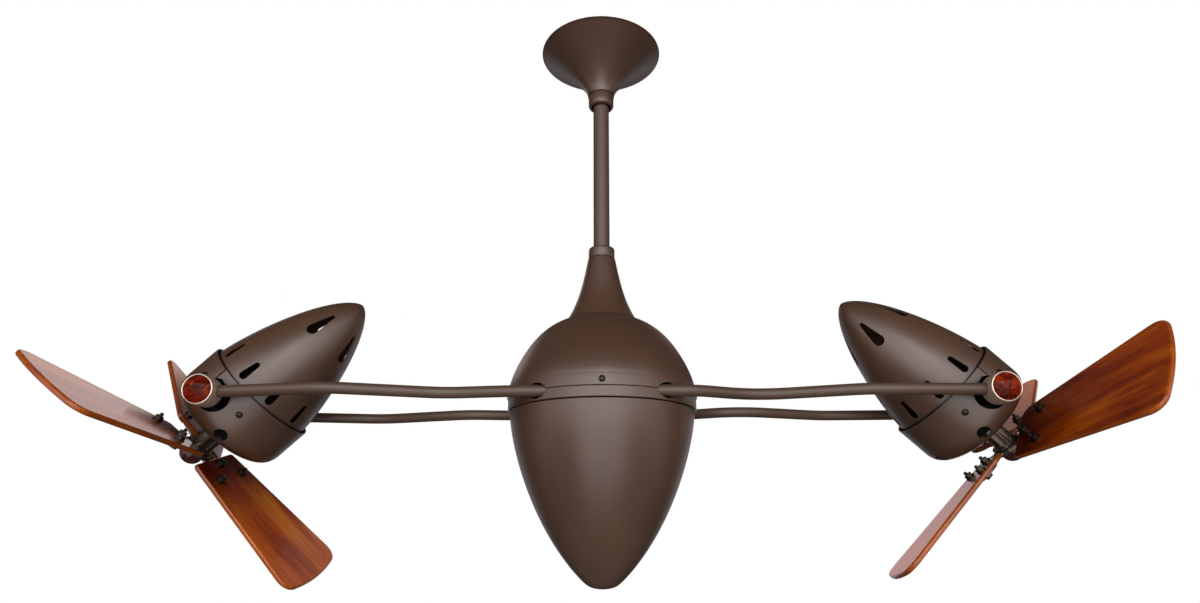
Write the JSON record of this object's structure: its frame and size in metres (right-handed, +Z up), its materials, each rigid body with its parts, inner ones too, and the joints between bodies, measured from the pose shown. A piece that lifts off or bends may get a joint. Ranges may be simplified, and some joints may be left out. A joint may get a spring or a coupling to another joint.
{
  "type": "twin head ceiling fan",
  "caption": "Ceiling fan with two tilting caged-motor heads on bent arms that turn about a pointed centre body on a downrod, with flat wooden paddle blades.",
  "frame": {"origin": "centre of the hanger bracket's face that lies on the ceiling", "axes": "+Z up out of the ceiling face, +X from the left head to the right head, +Y to the back"},
  "size_m": [1.1225, 0.3807, 0.6435],
  "materials": {
    "bronze": "satin textured powder coat",
    "dark_metal": "dark oxide, satin",
    "steel": "turned",
    "zinc": "zinc plated",
    "casting": "die cast",
    "copper": "enamelled windings and slip ring copper",
    "brush_plastic": "moulded",
    "blade_wood": "lacquered",
    "burl": "polished burl",
    "bezel": "pale satin"
  },
  "bodies": {
    "fixed": {"hanger_bracket": "steel", "hang_ball": "dark_metal", "canopy": "bronze", "canopy_collar": "bronze", "downrod": "bronze", "neck_collar": "bronze", "neck_cover": "bronze", "coupling": "casting", "cross_pins": "zinc", "set_screws": "dark_metal", "spindle": "steel", "bearing_inners": "steel", "slip_ring": "copper", "spindle_nut": "zinc"},
    "carousel": {"dome": "bronze", "belt_ring": "bronze", "bowl": "bronze", "belt_screws": "dark_metal", "bowl_screws": "zinc", "carrier": "casting", "bearing_outers": "steel", "brush_block": "brush_plastic", "arm_left_front": "bronze", "arm_left_rear": "bronze", "arm_right_front": "bronze", "arm_right_rear": "bronze", "left_sockets": "bronze", "right_sockets": "bronze", "pivot_caps": "burl", "cap_bezels": "bezel", "pivot_bolts": "zinc"},
    "left_head": {"left_motor_case": "casting", "left_motor_cover": "casting", "left_stator": "copper", "left_front_cowl": "bronze", "left_rear_cowl": "bronze", "left_cowl_screws": "dark_metal"},
    "right_head": {"right_motor_case": "casting", "right_motor_cover": "casting", "right_stator": "copper", "right_front_cowl": "bronze", "right_rear_cowl": "bronze", "right_cowl_screws": "dark_metal"},
    "left_rotor": {"left_shaft": "steel", "left_hub": "dark_metal", "left_irons": "dark_metal", "left_blade_a": "blade_wood", "left_blade_b": "blade_wood", "left_blade_c": "blade_wood", "left_fasteners": "dark_metal", "left_nose": "blade_wood"},
    "right_rotor": {"right_shaft": "steel", "right_hub": "dark_metal", "right_irons": "dark_metal", "right_blade_a": "blade_wood", "right_blade_b": "blade_wood", "right_blade_c": "blade_wood", "right_fasteners": "dark_metal", "right_nose": "blade_wood"}
  },
  "joints": [
    {"name": "carousel_turn", "type": "hinge", "parent": "fixed", "child": "carousel", "pos_m": [0, 0, -0.4434], "axis": [0, 0, 1], "continuous": true},
    {"name": "left_head_tilt", "type": "hinge", "parent": "carousel", "child": "left_head", "pos_m": [-0.403, 0, -0.4434], "axis": [0, -1, 0], "range_deg": [-133.6, 46.4]},
    {"name": "right_head_tilt", "type": "hinge", "parent": "carousel", "child": "right_head", "pos_m": [0.403, 0, -0.4434], "axis": [0, 1, 0], "range_deg": [-133.6, 46.4]},
    {"name": "left_blade_spin", "type": "hinge", "parent": "left_head", "child": "left_rotor", "pos_m": [-0.43531, 0, -0.47762], "axis": [0.7242, 0, 0.6896], "continuous": true},
    {"name": "right_blade_spin", "type": "hinge", "parent": "right_head", "child": "right_rotor", "pos_m": [0.43531, 0, -0.47762], "axis": [-0.7242, 0, 0.6896], "continuous": true}
  ]
}
